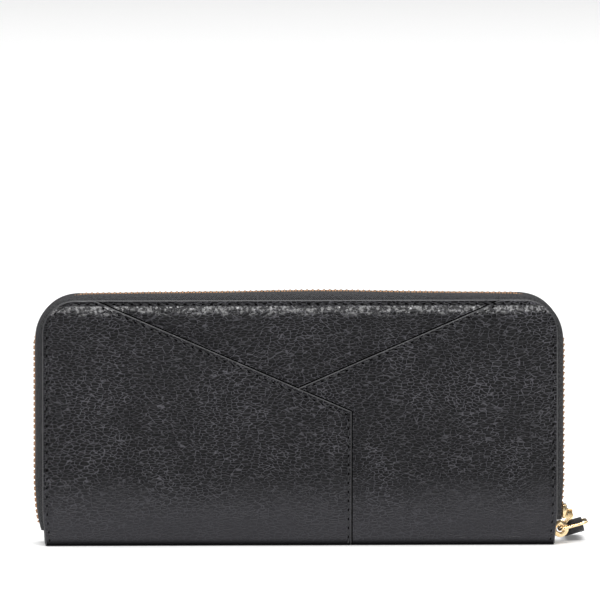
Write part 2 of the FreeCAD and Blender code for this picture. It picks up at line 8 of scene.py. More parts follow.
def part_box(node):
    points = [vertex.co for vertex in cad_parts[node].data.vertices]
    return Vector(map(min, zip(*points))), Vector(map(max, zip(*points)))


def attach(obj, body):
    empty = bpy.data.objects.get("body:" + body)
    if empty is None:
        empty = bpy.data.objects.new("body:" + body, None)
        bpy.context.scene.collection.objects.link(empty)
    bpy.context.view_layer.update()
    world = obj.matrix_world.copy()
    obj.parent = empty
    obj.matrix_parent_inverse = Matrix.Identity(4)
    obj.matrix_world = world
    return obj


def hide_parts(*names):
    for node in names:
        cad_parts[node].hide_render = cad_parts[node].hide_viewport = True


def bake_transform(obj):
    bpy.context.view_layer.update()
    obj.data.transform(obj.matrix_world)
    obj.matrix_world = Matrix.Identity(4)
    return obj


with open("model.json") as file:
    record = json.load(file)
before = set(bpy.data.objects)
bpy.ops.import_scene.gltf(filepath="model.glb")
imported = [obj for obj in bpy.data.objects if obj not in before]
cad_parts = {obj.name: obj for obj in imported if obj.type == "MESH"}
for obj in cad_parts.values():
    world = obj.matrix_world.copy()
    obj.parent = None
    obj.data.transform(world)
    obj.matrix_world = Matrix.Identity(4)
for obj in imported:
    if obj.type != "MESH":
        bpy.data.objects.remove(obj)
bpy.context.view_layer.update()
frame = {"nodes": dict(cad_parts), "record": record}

MM = 0.001
COVERS = {"front": -1, "rear": 1}


def mm_box(node):
    low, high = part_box(node)
    return [c / MM for c in low], [c / MM for c in high]


# ------------------------------------------------------------------ sizes read from the frame, in mm
panel_low, panel_high = mm_box("front_panel_left")
right_low, _ = mm_box("front_panel_right")
top_low, top_high = mm_box("front_panel_top")
HALF = panel_high[0] if panel_high[0] > 90 else -panel_low[0]
HEIGHT = panel_high[2]
DEPTH = -panel_low[1]
RIGHT_STEP = DEPTH + right_low[1]
CREASE = panel_low[2]
HINGE = -mm_box("spine_leather_left")[0][1]
SEAM_X = panel_high[0]
CORNER = 12.5
LEATHER = 0.9
ARC = CREASE * math.pi / 2
ROLL_END = CREASE - ARC
MIDLINE = ROLL_END - HINGE
FORK = Vector((right_low[0], 0, top_low[2]))
LEFT_TOP = Vector((top_low[0], 0, HEIGHT))
RIGHT_TOP = Vector((top_high[0], 0, HEIGHT))
slope = (LEFT_TOP - FORK).z / (FORK - LEFT_TOP).x
SEAM_FOOT = Vector((SEAM_X, 0, FORK.z - (SEAM_X - FORK.x) * slope))
SPINE_MIDDLE = Vector((SEAM_X, 0, MIDLINE))
STITCH = 3.25
CHAMFER = 0.4


# ------------------------------------------------------------------ materials
def nodes_of(name):
    material = bpy.data.materials.new(name)
    material.use_nodes = True
    tree = material.node_tree
    shader = tree.nodes["Principled BSDF"]
    return material, tree, shader


def add(tree, kind, **settings):
    """A node, with its properties and unlinked or linked inputs given by name."""
    node = tree.nodes.new(kind)
    inputs = settings.pop("inputs", {})
    for key, value in settings.items():
        setattr(node, key, value)
    for key, value in inputs.items():
        socket = node.inputs[key]
        if isinstance(value, bpy.types.NodeSocket):
            tree.links.new(value, socket)
        else:
            socket.default_value = value
    return node


def math_node(tree, operation, a, b=0.0, clamp=False):
    return add(tree, "ShaderNodeMath", operation=operation, use_clamp=clamp,
               inputs={0: a, 1: b}).outputs[0]


def ramp(tree, value, low, high, to_low=0.0, to_high=1.0, smooth=True):
    kind = "SMOOTHSTEP" if smooth else "LINEAR"
    return add(tree, "ShaderNodeMapRange", interpolation_type=kind,
               inputs={"Value": value, "From Min": low, "From Max": high, "To Min": to_low,
                       "To Max": to_high}).outputs["Result"]


def mix_color(tree, factor, a, b):
    node = add(tree, "ShaderNodeMix", data_type="RGBA", inputs={"Factor": factor})
    node.inputs[6].default_value = (*a, 1)
    node.inputs[7].default_value = (*b, 1)
    return node.outputs[2]


def bump(tree, height, distance, strength):
    inputs = {"Height": height, "Distance": distance, "Strength": strength}
    return add(tree, "ShaderNodeBump", inputs=inputs).outputs["Normal"]


PEBBLE = 1.45 * MM
PEBBLE_LONG, PEBBLE_DEEP = 0.64, 1.5
GRAIN_TURN = math.radians(-8)
GRAIN_DEPTH = 0.50 * MM
PEBBLE_TOP = (0.0012, 0.0012, 0.0020)
# colour of the crease lines: a painted glint on the pebbles' edges
CREASE_GLINT_PAINT = (0.088, 0.086, 0.098)
CALM_LOW, CALM_HIGH = 0.014, 0.040
# the lowest band, round the crease, where shade is painted in
FOOT_SHADE_LOW, FOOT_SHADE_HIGH = 0.0005, 0.0030
# gain of the painted highlight band under the top stitching
HIGHLIGHT_GAIN = 3.6


def grained_leather(name):
    """Pebbled leather: long soft pebbles between thin creases lightened in colour as a painted glint, calmer
    towards the spine.
    """
    material, tree, shader = nodes_of(name)
    place = add(tree, "ShaderNodeTexCoord").outputs["Object"]
    above = add(tree, "ShaderNodeSeparateXYZ", inputs={0: place}).outputs["Z"]

    moved = place
    for scale, reach in ((14.0, 0.012), (150.0, 0.0016)):
        drift = add(tree, "ShaderNodeTexNoise", inputs={"Vector": place, "Scale": scale, "Detail": 2.0})
        shift = add(tree, "ShaderNodeVectorMath", operation="SUBTRACT",
                    inputs={0: drift.outputs["Color"], 1: (0.5, 0.5, 0.5)})
        shift = add(tree, "ShaderNodeVectorMath", operation="SCALE",
                    inputs={0: shift.outputs[0], "Scale": reach})
        moved = add(tree, "ShaderNodeVectorMath", operation="ADD",
                    inputs={0: moved, 1: shift.outputs[0]}).outputs[0]
    turned = add(tree, "ShaderNodeMapping",
                 inputs={"Vector": moved, "Rotation": (0, GRAIN_TURN, 0),
                         "Scale": (PEBBLE_LONG / PEBBLE, 1 / PEBBLE, PEBBLE_DEEP / PEBBLE)}).outputs[0]

    cells = add(tree, "ShaderNodeTexVoronoi", feature="DISTANCE_TO_EDGE",
                inputs={"Vector": turned, "Scale": 1.0, "Randomness": 1.0}).outputs["Distance"]
    tint = add(tree, "ShaderNodeTexVoronoi", feature="F1",
               inputs={"Vector": turned, "Scale": 1.0, "Randomness": 1.0}).outputs["Color"]
    tint = add(tree, "ShaderNodeSeparateColor", inputs={0: tint}).outputs[0]
    small = add(tree, "ShaderNodeTexVoronoi", feature="DISTANCE_TO_EDGE",
                inputs={"Vector": turned, "Scale": 2.4, "Randomness": 1.0}).outputs["Distance"]
    fine = add(tree, "ShaderNodeTexNoise",
               inputs={"Vector": place, "Scale": 3000.0, "Detail": 2.0}).outputs["Fac"]
    patch_noise = add(tree, "ShaderNodeTexNoise",
               inputs={"Vector": place, "Scale": 60.0, "Detail": 4.0}).outputs["Fac"]

    # the grain fades towards the spine, where the leather is drawn round the fold
    up = math_node(tree, "ADD", above, math_node(tree, "MULTIPLY", patch_noise, 0.016))
    grain = ramp(tree, up, CALM_LOW, CALM_HIGH, 0.22, 1.0)
    height = math_node(tree, "ADD", ramp(tree, cells, 0.0, 0.30),
                       math_node(tree, "MULTIPLY", ramp(tree, small, 0.0, 0.2), 0.12))
    height = math_node(tree, "ADD", height, math_node(tree, "MULTIPLY", fine, 0.05))
    height = math_node(tree, "MULTIPLY", height, grain)
    # the thin creases are lightened in colour, a painted glint, varied by a patch noise
    crease = math_node(tree, "SUBTRACT", 1.0, ramp(tree, cells, 0.0, 0.088))
    crease = math_node(tree, "MULTIPLY", crease, ramp(tree, patch_noise, 0.35, 0.65, 0.55, 1.0))
    crease = math_node(tree, "MULTIPLY", crease, grain)
    body = math_node(tree, "MULTIPLY", tint, 0.03)
    # lighter towards the spine: a painted reflection of the floor on the lower face
    body = math_node(tree, "ADD", body, ramp(tree, up, 0.036, 0.016, 0.0, 0.27))
    tone = math_node(tree, "ADD", body, crease, clamp=True)
    # painted shade: the colour darkens to the pebble colour in the lowest 3 mm, round the crease
    tone = math_node(tree, "MULTIPLY", tone, ramp(tree, above, FOOT_SHADE_LOW, FOOT_SHADE_HIGH))
    tree.links.new(mix_color(tree, tone, PEBBLE_TOP, CREASE_GLINT_PAINT), shader.inputs["Base Color"])

    # painted highlight: under the top stitching the specular level is raised in a speckled band, with an
    # uneven lower edge
    uneven = math_node(tree, "MULTIPLY", math_node(tree, "SUBTRACT", tint, 0.5), 0.0022)
    uneven = math_node(tree, "ADD", above, uneven)
    highlight_band = math_node(tree, "MULTIPLY", ramp(tree, uneven, RIM_LOW, RIM_LOW + 0.0030),
                      ramp(tree, above, RIM_HIGH, RIM_HIGH - 0.0006))
    speck = add(tree, "ShaderNodeTexNoise", inputs={"Vector": place, "Scale": 900.0, "Detail": 2.0})
    speck = ramp(tree, speck.outputs["Fac"], 0.44, 0.60, 0.12, 1.0)
    painted_highlight = math_node(tree, "MULTIPLY", math_node(tree, "MULTIPLY", highlight_band, speck), HIGHLIGHT_GAIN)
    # painted shade: the specular level also drops in the lowest 3 mm
    level = ramp(tree, above, FOOT_SHADE_LOW, FOOT_SHADE_HIGH, 0.02, 0.23)
    tree.links.new(math_node(tree, "ADD", level, painted_highlight), shader.inputs["Specular IOR Level"])
    rough = math_node(tree, "ADD", ramp(tree, patch_noise, 0.3, 0.7, 0.34, 0.44),
                      math_node(tree, "MULTIPLY", tint, 0.08))
    tree.links.new(rough, shader.inputs["Roughness"])
    tree.links.new(bump(tree, height, GRAIN_DEPTH, 1.0), shader.inputs["Normal"])
    shader.inputs["Specular IOR Level"].default_value = 0.30
    return material


def smooth_leather(name, color=(0.012, 0.012, 0.014), roughness=0.5):
    """Thin dyed leather with a fine hair-cell grain."""
    material, tree, shader = nodes_of(name)
    place = add(tree, "ShaderNodeTexCoord").outputs["Object"]
    cells = add(tree, "ShaderNodeTexVoronoi", feature="DISTANCE_TO_EDGE",
                inputs={"Vector": place, "Scale": 1900.0}).outputs["Distance"]
    tone = add(tree, "ShaderNodeTexNoise", inputs={"Vector": place, "Scale": 70.0, "Detail": 4.0})
    lighter = tuple(c * 1.9 for c in color)
    tree.links.new(mix_color(tree, ramp(tree, tone.outputs["Fac"], 0.35, 0.7), color, lighter),
                   shader.inputs["Base Color"])
    tree.links.new(bump(tree, ramp(tree, cells, 0.0, 0.2), 0.05 * MM, 0.8), shader.inputs["Normal"])
    shader.inputs["Roughness"].default_value = roughness
    return material


def painted_edge(name):
    """The sealed cut edge of the leather: smooth and a little shiny."""
    material, tree, shader = nodes_of(name)
    place = add(tree, "ShaderNodeTexCoord").outputs["Object"]
    lumps = add(tree, "ShaderNodeTexNoise", inputs={"Vector": place, "Scale": 900.0, "Detail": 2.0})
    tree.links.new(mix_color(tree, lumps.outputs["Fac"], (0.024, 0.024, 0.026), (0.074, 0.074, 0.078)),
                   shader.inputs["Base Color"])
    tree.links.new(bump(tree, lumps.outputs["Fac"], 0.08 * MM, 0.6), shader.inputs["Normal"])
    shader.inputs["Roughness"].default_value = 0.34
    return material


def woven_tape(name):
    """Zip tape: a close twill that runs with the tape's own length."""
    material, tree, shader = nodes_of(name)
    uv = add(tree, "ShaderNodeUVMap", uv_map="weave").outputs[0]
    part = add(tree, "ShaderNodeSeparateXYZ", inputs={0: uv})
    along, over = part.outputs["X"], part.outputs["Y"]
    diagonal = math_node(tree, "ADD", along, math_node(tree, "MULTIPLY", over, 0.8))
    rib = math_node(tree, "SINE", math_node(tree, "MULTIPLY", diagonal, 2 * math.pi / (0.85 * MM)))
    yarn = math_node(tree, "SINE", math_node(tree, "MULTIPLY", over, 2 * math.pi / (0.42 * MM)))
    weave = math_node(tree, "ADD", rib, math_node(tree, "MULTIPLY", yarn, 0.45))
    fuzz = add(tree, "ShaderNodeTexNoise", inputs={"Vector": uv, "Scale": 1300.0, "Detail": 2.0})
    weave = math_node(tree, "ADD", weave, math_node(tree, "MULTIPLY", fuzz.outputs["Fac"], 5.0))
    tree.links.new(mix_color(tree, ramp(tree, weave, 1.2, 3.9), (0.003, 0.003, 0.004),
                             (0.074, 0.074, 0.078)), shader.inputs["Base Color"])
    tree.links.new(bump(tree, weave, 0.09 * MM, 1.0), shader.inputs["Normal"])
    shader.inputs["Roughness"].default_value = 0.72
    shader.inputs["Sheen Weight"].default_value = 0.004
    shader.inputs["Specular IOR Level"].default_value = 0.2
    return material


def lining_cloth(name):
    """Fine plain-woven lining."""
    material, tree, shader = nodes_of(name)
    place = add(tree, "ShaderNodeTexCoord").outputs["Object"]
    part = add(tree, "ShaderNodeSeparateXYZ", inputs={0: place})
    across = math_node(tree, "SINE", math_node(tree, "MULTIPLY", part.outputs["X"], 2 * math.pi / 0.0005))
    upward = math_node(tree, "SINE", math_node(tree, "MULTIPLY", part.outputs["Z"], 2 * math.pi / 0.0005))
    weave = math_node(tree, "MULTIPLY", across, upward)
    tone = add(tree, "ShaderNodeTexNoise", inputs={"Vector": place, "Scale": 120.0, "Detail": 3.0})
    weave = math_node(tree, "ADD", weave, tone.outputs["Fac"])
    tree.links.new(mix_color(tree, ramp(tree, weave, -0.6, 1.6), (0.010, 0.010, 0.012),
                             (0.040, 0.040, 0.046)), shader.inputs["Base Color"])
    tree.links.new(bump(tree, weave, 0.04 * MM, 0.7), shader.inputs["Normal"])
    shader.inputs["Roughness"].default_value = 0.62
    shader.inputs["Sheen Weight"].default_value = 0.15
    return material


def gold(name, color=(0.93, 0.72, 0.43), roughness=0.2):
    """Pale gold plating with faint polishing marks and small dull spots."""
    material, tree, shader = nodes_of(name)
    place = add(tree, "ShaderNodeTexCoord").outputs["Object"]
    stretched = add(tree, "ShaderNodeMapping",
                    inputs={"Vector": place, "Scale": (900.0, 4200.0, 900.0)}).outputs[0]
    marks = add(tree, "ShaderNodeTexNoise", inputs={"Vector": stretched, "Scale": 1.0, "Detail": 3.0})
    spots = add(tree, "ShaderNodeTexNoise", inputs={"Vector": place, "Scale": 420.0, "Detail": 3.0})
    worn = tuple(c * k for c, k in zip(color, (0.86, 0.76, 0.62)))
    tree.links.new(mix_color(tree, ramp(tree, spots.outputs["Fac"], 0.42, 0.7), color, worn),
                   shader.inputs["Base Color"])
    rough = ramp(tree, marks.outputs["Fac"], 0.3, 0.7, roughness * 0.7, roughness * 1.5)
    tree.links.new(rough, shader.inputs["Roughness"])
    tree.links.new(bump(tree, marks.outputs["Fac"], 0.01 * MM, 0.5), shader.inputs["Normal"])
    shader.inputs["Metallic"].default_value = 1.0
    return material


def waxed_thread(name):
    material, tree, shader = nodes_of(name)
    place = add(tree, "ShaderNodeTexCoord").outputs["Object"]
    ply = add(tree, "ShaderNodeTexNoise", inputs={"Vector": place, "Scale": 2200.0, "Detail": 1.0})
    tree.links.new(mix_color(tree, ply.outputs["Fac"], (0.004, 0.004, 0.005), (0.030, 0.030, 0.033)),
                   shader.inputs["Base Color"])
    tree.links.new(bump(tree, ply.outputs["Fac"], 0.06 * MM, 0.8), shader.inputs["Normal"])
    shader.inputs["Roughness"].default_value = 0.45
    return material


RIM_LOW, RIM_HIGH = (HEIGHT - 5.9) * MM, (HEIGHT - 1.9) * MM
LEATHER_SKIN = grained_leather("black pebbled leather")
TAB_SKIN = smooth_leather("tab leather", color=(0.006, 0.006, 0.007), roughness=0.6)
POCKET_SKIN = smooth_leather("thin pocket leather")
EDGE_PAINT = painted_edge("painted leather edge")
TAPE_WEAVE = woven_tape("woven zip tape")
LINING = lining_cloth("lining cloth")
GOLD = gold("pale gold plating")
TOOTH_GOLD = gold("rose gold teeth", color=(0.46, 0.26, 0.13), roughness=0.34)
THREAD = waxed_thread("waxed black thread")
FOAM = smooth_leather("foam sheet", color=(0.10, 0.10, 0.10), roughness=0.9)
BOARD = smooth_leather("bonded fibre board", color=(0.16, 0.12, 0.08), roughness=0.8)
# painted shade: a near-black matte material put in the needle holes and in the strips of lower leather beside
# each covering seam
PAINTED_SHADE = nodes_of("needle hole shade")[0]
PAINTED_SHADE.node_tree.nodes["Principled BSDF"].inputs["Base Color"].default_value = (0.001, 0.001, 0.001, 1)
PAINTED_SHADE.node_tree.nodes["Principled BSDF"].inputs["Specular IOR Level"].default_value = 0.05
PAINTED_SHADE.node_tree.nodes["Principled BSDF"].inputs["Roughness"].default_value = 0.9


# ------------------------------------------------------------------ piece helpers
def piece(name, bm, *materials, smooth=True):
    """A mesh object from a bmesh drawn in millimetres."""
    bmesh.ops.scale(bm, vec=(MM, MM, MM), verts=bm.verts)
    mesh = bpy.data.meshes.new(name)
    bm.to_mesh(mesh)
    bm.free()
    for material in materials:
        mesh.materials.append(material)
    if smooth:
        mesh.shade_smooth()
    obj = bpy.data.objects.new(name, mesh)
    bpy.context.collection.objects.link(obj)
    return obj


def thickened(obj, thickness, rim=0, offset=-1.0):
    wall = obj.modifiers.new("wall", "SOLIDIFY")
    wall.thickness = thickness * MM
    wall.offset = offset
    wall.use_even_offset = False
    wall.material_offset_rim = rim
    return obj


def rounded(obj, width, segments=2):
    edge = obj.modifiers.new("edge", "BEVEL")
    edge.width = width * MM
    edge.segments = segments
    edge.limit_method = "ANGLE"
    edge.angle_limit = math.radians(35)
    edge.harden_normals = False
    return obj


def outward(bm):
    bmesh.ops.remove_doubles(bm, verts=bm.verts, dist=1e-5)
    bmesh.ops.recalc_face_normals(bm, faces=bm.faces)


def flat_grid(x0, x1, z0, z1, step):
    """A flat grid that fills a rectangle of the XZ plane, facing -Y."""
    bm = bmesh.new()
    bmesh.ops.create_grid(bm, x_segments=max(1, round((x1 - x0) / step)),
                          y_segments=max(1, round((z1 - z0) / step)), size=1.0)
    for v in bm.verts:
        v.co = Vector((x0 + (v.co.x + 1) / 2 * (x1 - x0), 0, z0 + (v.co.y + 1) / 2 * (z1 - z0)))
    return bm


def slice_flat(bm, point, normal, clear=False):
    bmesh.ops.bisect_plane(bm, geom=bm.verts[:] + bm.edges[:] + bm.faces[:], dist=1e-4, plane_co=point,
                           plane_no=normal, clear_outer=clear)


CORNER_FACETS = 14


def round_top_corners(bm, half, top, radius):
    for side in (-1, 1):
        centre = Vector((side * (half - radius), 0, top - radius))
        for k in range(1, CORNER_FACETS):
            angle = math.pi / 2 * k / CORNER_FACETS
            out = Vector((side * math.cos(angle), 0, math.sin(angle)))
            slice_flat(bm, centre + out * radius, out, clear=True)
            slice_flat(bm, centre + out * (radius - CHAMFER), out)


def softened(node, material, width=0.12, segments=2):
    """A rounded-edge copy of a hard CAD node."""
    source = frame["nodes"][node]
    bm = bmesh.new()
    bm.from_mesh(source.data)
    bmesh.ops.remove_doubles(bm, verts=bm.verts, dist=2e-6)
    bmesh.ops.dissolve_limit(bm, angle_limit=math.radians(1.5), verts=bm.verts, edges=bm.edges)
    mesh = bpy.data.meshes.new(node + "_finished")
    bm.to_mesh(mesh)
    bm.free()
    mesh.materials.append(material)
    mesh.shade_smooth()
    obj = bpy.data.objects.new(node + "_finished", mesh)
    bpy.context.collection.objects.link(obj)
    rounded(obj, width, segments)
    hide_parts(node)
    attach(obj, body_with(node))
    return obj


def body_with(node):
    for body, members in frame["record"]["behaviour"]["bodies"].items():
        if node in members:
            return body


# ------------------------------------------------------------------ the covers' outer leather
def smoothstep(low, high, value):
    t = min(1.0, max(0.0, (value - low) / (high - low)))
    return t * t * (3 - 2 * t)


def segment_distance(x, z, a, b):
    p, way = Vector((x, 0, z)) - a, b - a
    t = min(1.0, max(0.0, p.dot(way) / way.length_squared))
    return (p - way * t).length


def edge_distance(x, z):
    """Distance inside the cover's side and top edges."""
    qx, qz = abs(x) - (HALF - CORNER), z - (HEIGHT - CORNER)
    if qx > 0 and qz > 0:
        return CORNER - math.hypot(qx, qz)
    return min(CORNER - qx, CORNER - qz)


SEAM_A_OUT = Vector((slope, 0, 1)).normalized()
SEAM_B_OUT = Vector((-slope, 0, 1)).normalized()
SEAMS = {"long": (LEFT_TOP, SEAM_FOOT), "short": (FORK, RIGHT_TOP), "upright": (SEAM_FOOT, SPINE_MIDDLE)}
PATCH_SEAMS = {"left": ("long", "upright"), "right": ("long", "short", "upright"), "top": ("long", "short")}
LAYER = {"left": 0.22, "right": -0.10, "top": -0.34}


def patch_at(x, z):
    point = Vector((x, 0, z))
    above_long = (point - SEAM_FOOT).dot(SEAM_A_OUT) > 0
    if x < SEAM_X and not above_long:
        return "left"
    return "top" if (point - FORK).dot(SEAM_B_OUT) > 0 else "right"


def seam_distance(x, z, patch):
    return min(segment_distance(x, z, *SEAMS[s]) for s in PATCH_SEAMS[patch])


def cut_edge_distance(x, z, patch):
    """Distance from the patch's own cut edges, the ones that lie on top."""
    own = {"left": ("long", "upright"), "right": ("short",), "top": ()}[patch]
    return min([segment_distance(x, z, *SEAMS[s]) for s in own] + [99.0])


def cover_depth(x, z, patch):
    """How far the outer face stands from the wallet's middle plane."""
    e, s, cut = edge_distance(x, z), seam_distance(x, z, patch), cut_edge_distance(x, z, patch)
    depth = DEPTH + 0.35 - 1.4 * math.exp(-max(0.0, e - 1.6) / 2.2)
    depth += LAYER[patch] * smoothstep(-1, 2.5, e)
    depth -= 0.30 * math.exp(-(s / 2.6) ** 2)
    depth -= 0.16 * math.exp(-((s - 1.5) / 0.5) ** 2) + 0.16 * math.exp(-((e - 1.7) / 0.5) ** 2)
    wave = 0.30 * noise.noise(Vector((x / 26, 0.3, z / 21))) + 0.10 * noise.noise(Vector((x / 8, 2.1, z / 7)))
    depth += wave * smoothstep(1.5, 8, e)
    step = 0.0 if patch == "left" else RIGHT_STEP * smoothstep(-4, 8, z)
    flat = DEPTH - step - 0.06 * math.exp(-((s - 1.5) / 0.5) ** 2)
    depth = flat + (depth - flat) * smoothstep(2.0, 15.0, z)
    chamfer = max(0.0, 1 - cut / CHAMFER) + max(0.0, 1 - e / CHAMFER)
    return depth - 0.30 * min(1.0, chamfer)


def on_cover(x, z, lift=0.0, patch=None):
    """A point of the front leather: height Z on the cover, then round the crease and along the spine."""
    patch = patch or patch_at(x, z)
    depth = cover_depth(x, z, patch) + lift
    pull = 1.1 * smoothstep(14, 0, z) * smoothstep(0.86, 1.0, abs(x) / HALF)
    x -= math.copysign(pull, x)
    if z >= CREASE:
        return Vector((x, -depth, z))
    radius = CREASE + depth - DEPTH
    if z > ROLL_END:
        turn = (CREASE - z) / ARC * math.pi / 2
        return Vector((x, -HINGE - radius * math.cos(turn), CREASE - radius * math.sin(turn)))
    return Vector((x, MIDLINE - z, CREASE - radius))


def leather_patch(patch):
    bm = flat_grid(-HALF, HALF, MIDLINE, HEIGHT, 0.8)
    round_top_corners(bm, HALF, HEIGHT, CORNER)
    for seam, out in (("long", SEAM_A_OUT), ("short", SEAM_B_OUT), ("upright", Vector((1, 0, 0)))):
        foot = SEAMS[seam][0]
        for away in (-2.1, -1.5, -0.9, -CHAMFER, 0.0, CHAMFER, 0.9, 1.5, 2.1):
            slice_flat(bm, foot + out * away, out)
    for x in (-1, 1):
        slice_flat(bm, Vector((x * (HALF - CHAMFER), 0, 0)), Vector((1, 0, 0)))
    slice_flat(bm, Vector((0, 0, HEIGHT - CHAMFER)), Vector((0, 0, 1)))
    gone = []
    for face in bm.faces:
        centre = face.calc_center_median()
        if patch_at(centre.x, centre.z) != patch:
            gone.append(face)
        cut = cut_edge_distance(centre.x, centre.z, patch)
        if min(edge_distance(centre.x, centre.z), cut) < CHAMFER:
            face.material_index = 1
        # faces of a lower patch within CHAMFER of a covering seam take the painted shade, standing in for the
        # shadow in the seam's gap
        elif seam_distance(centre.x, centre.z, patch) < min(cut, CHAMFER):
            face.material_index = 2
    bmesh.ops.delete(bm, geom=gone, context="FACES")
    for v in bm.verts:
        v.co = on_cover(v.co.x, v.co.z, patch=patch)
    return piece(f"front_leather_{patch}", bm, LEATHER_SKIN, EDGE_PAINT, PAINTED_SHADE)


def rear_copy(obj, name):
    """The same piece turned over to the rear cover."""
    bm = bmesh.new()
    bm.from_mesh(obj.data)
    bmesh.ops.transform(bm, matrix=Matrix.Diagonal((1, -1, 1, 1)), verts=bm.verts)
    bmesh.ops.reverse_faces(bm, faces=bm.faces)
    bmesh.ops.scale(bm, vec=(1 / MM, 1 / MM, 1 / MM), verts=bm.verts)
    return piece(name, bm, *obj.data.materials)


def crease_blend(obj):
    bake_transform(obj)
    return obj


for patch in PATCH_SEAMS:
    front = leather_patch(patch)
    rear = rear_copy(front, f"rear_leather_{patch}")
    for cover, obj in (("front", front), ("rear", rear)):
        crease_blend(thickened(obj, LEATHER, rim=1))
for cover in COVERS:
    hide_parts(f"{cover}_panel_right")
    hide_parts(f"{cover}_panel_top")
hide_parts("front_panel_left", "front_crease", "spine_leather_left")
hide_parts("rear_panel_left", "rear_crease", "spine_leather_right")


# ------------------------------------------------------------------ stitching
def edge_route(inset):
    """The stitch line along a cover's sides and top, as (x, z) at a distance along it."""
    half, top, radius = HALF - inset, HEIGHT - inset + 0.2, CORNER - inset
    upright, across = top - radius - 2.0, 2 * (half - radius)
    quarter = radius * math.pi / 2
    total = 2 * upright + 2 * quarter + across

    def at(s):
        if s < upright:
            return -half, 2.0 + s
        s -= upright
        if s < quarter:
            a = math.pi - s / radius
            return -half + radius + radius * math.cos(a), top - radius + radius * math.sin(a)
        s -= quarter
        if s < across:
            return -half + radius + s, top
        s -= across
        if s < quarter:
            a = math.pi / 2 - s / radius
            return half - radius + radius * math.cos(a), top - radius + radius * math.sin(a)
        return half, top - radius - (s - quarter)
    return at, total


def line_route(a, b):
    way = b - a
    return (lambda s: tuple((a + way * (s / way.length))[i] for i in (0, 2))), way.length


def add_stitches(bm, route, total, patch=None):
    """Sunken thread dashes with a disc of painted shade at each end for the needle hole."""
    count = int(total / STITCH)
    for k in range(2 * count + 1):
        s = k * total / (2 * count)
        (x0, z0), (x1, z1) = route(max(0.0, s - 0.5)), route(min(total, s + 0.5))
        way = Vector((x1 - x0, 0, z1 - z0)).normalized()
        lean = Matrix.Rotation(math.radians(9), 3, "Y") @ way
        cross = Vector((-lean.z, 0, lean.x))
        centre = Vector(((x0 + x1) / 2, 0, (z0 + z1) / 2))
        chosen = patch or patch_at(centre.x, centre.z)
        thread = k % 2
        long, wide, tall, lift = (1.25, 0.25, 0.20, 0.06) if thread else (0.55, 0.27, 0.05, 0.03)
        made = bmesh.ops.create_uvsphere(bm, u_segments=8, v_segments=6, radius=1.0)["verts"]
        for face in {f for v in made for f in v.link_faces}:
            face.material_index = 1 - thread
        for v in made:
            p = v.co.copy()
            flat = centre + lean * (p.z * long) + cross * (p.x * wide)
            droop = -0.28 * thread * abs(p.z) ** 3
            v.co = on_cover(flat.x, flat.z, lift=lift + p.y * tall + droop, patch=chosen)


SEAM_INSET = 1.2
bm = bmesh.new()
add_stitches(bm, *edge_route(1.7))
a = LEFT_TOP - SEAM_A_OUT * SEAM_INSET + Vector((3.6, 0, -1.7))
b = SEAM_FOOT - SEAM_A_OUT * SEAM_INSET - Vector((1.4, 0, 0))
add_stitches(bm, *line_route(a, b), patch="left")
a = SEAM_FOOT + Vector((-SEAM_INSET, 0, -3.0))
add_stitches(bm, *line_route(a, Vector((SEAM_X - SEAM_INSET, 0, MIDLINE + 1))), patch="left")
a = FORK - SEAM_B_OUT * SEAM_INSET + Vector((2.5, 0, 1.1))
b = RIGHT_TOP - SEAM_B_OUT * SEAM_INSET + Vector((-3.2, 0, -1.5))
add_stitches(bm, *line_route(a, b), patch="right")
front = piece("front_stitching", bm, THREAD, PAINTED_SHADE)
crease_blend(front)
crease_blend(rear_copy(front, "rear_stitching"))


# ------------------------------------------------------------------ zip tape and teeth
tape_low, tape_high = mm_box("front_zip_tape")
side_low, side_high = mm_box("front_zip_tape_side")
ZIP_X = side_high[0]
ZIP_TOP = tape_high[2]
ZIP_CORNER = 17.0
TAPE_LOW_RIGHT = side_low[2]
TAPE_LOW_LEFT = 5.5
TAPE_EDGE = -tape_high[1]
TAPE_ARC = 6.25
TAPE_MARGIN = 9.0
TAPE_DEPTH = -tape_low[1]
LEAN_Z = 17.0
LEAN_RADIUS = 41.0
LEAN = math.asin((LEAN_Z - TAPE_LOW_LEFT) / LEAN_RADIUS)
ARC_X, ARC_Z = ZIP_X - ZIP_CORNER, ZIP_TOP - ZIP_CORNER
BOW = 0.6
RUNS = (LEAN_RADIUS * LEAN, ARC_Z - LEAN_Z, ZIP_CORNER * math.pi / 2, 2 * ARC_X,
        ZIP_CORNER * math.pi / 2, ARC_Z - TAPE_LOW_RIGHT)
ZIP_LENGTH = sum(RUNS)


def zip_frame(s):
    """Point and outward direction of the zip's path at a distance along it."""
    lean, left, first, across, last = RUNS[:5]
    if s < lean:
        a = LEAN - s / LEAN_RADIUS
        out = Vector((-math.cos(a), 0, -math.sin(a)))
        return Vector((-ZIP_X + LEAN_RADIUS, 0, LEAN_Z)) + out * LEAN_RADIUS, out
    s -= lean
    if s < left:
        return Vector((-ZIP_X, 0, LEAN_Z + s)), Vector((-1, 0, 0))
    s -= left
    if s < first:
        a = math.pi - s / ZIP_CORNER
        out = Vector((math.cos(a), 0, math.sin(a)))
        return Vector((-ARC_X, 0, ARC_Z)) + out * ZIP_CORNER, out
    s -= first
    if s < across:
        x = -ARC_X + s
        bow = BOW * (1 - (x / ARC_X) ** 2) + 0.45 * math.exp(-((x - 8) / 24) ** 2)
        return Vector((x, 0, ZIP_TOP + bow)), Vector((0, 0, 1))
    s -= across
    if s < last:
        a = math.pi / 2 - s / ZIP_CORNER
        out = Vector((math.cos(a), 0, math.sin(a)))
        return Vector((ARC_X, 0, ARC_Z)) + out * ZIP_CORNER, out
    return Vector((ZIP_X, 0, ARC_Z - (s - last))), Vector((1, 0, 0))


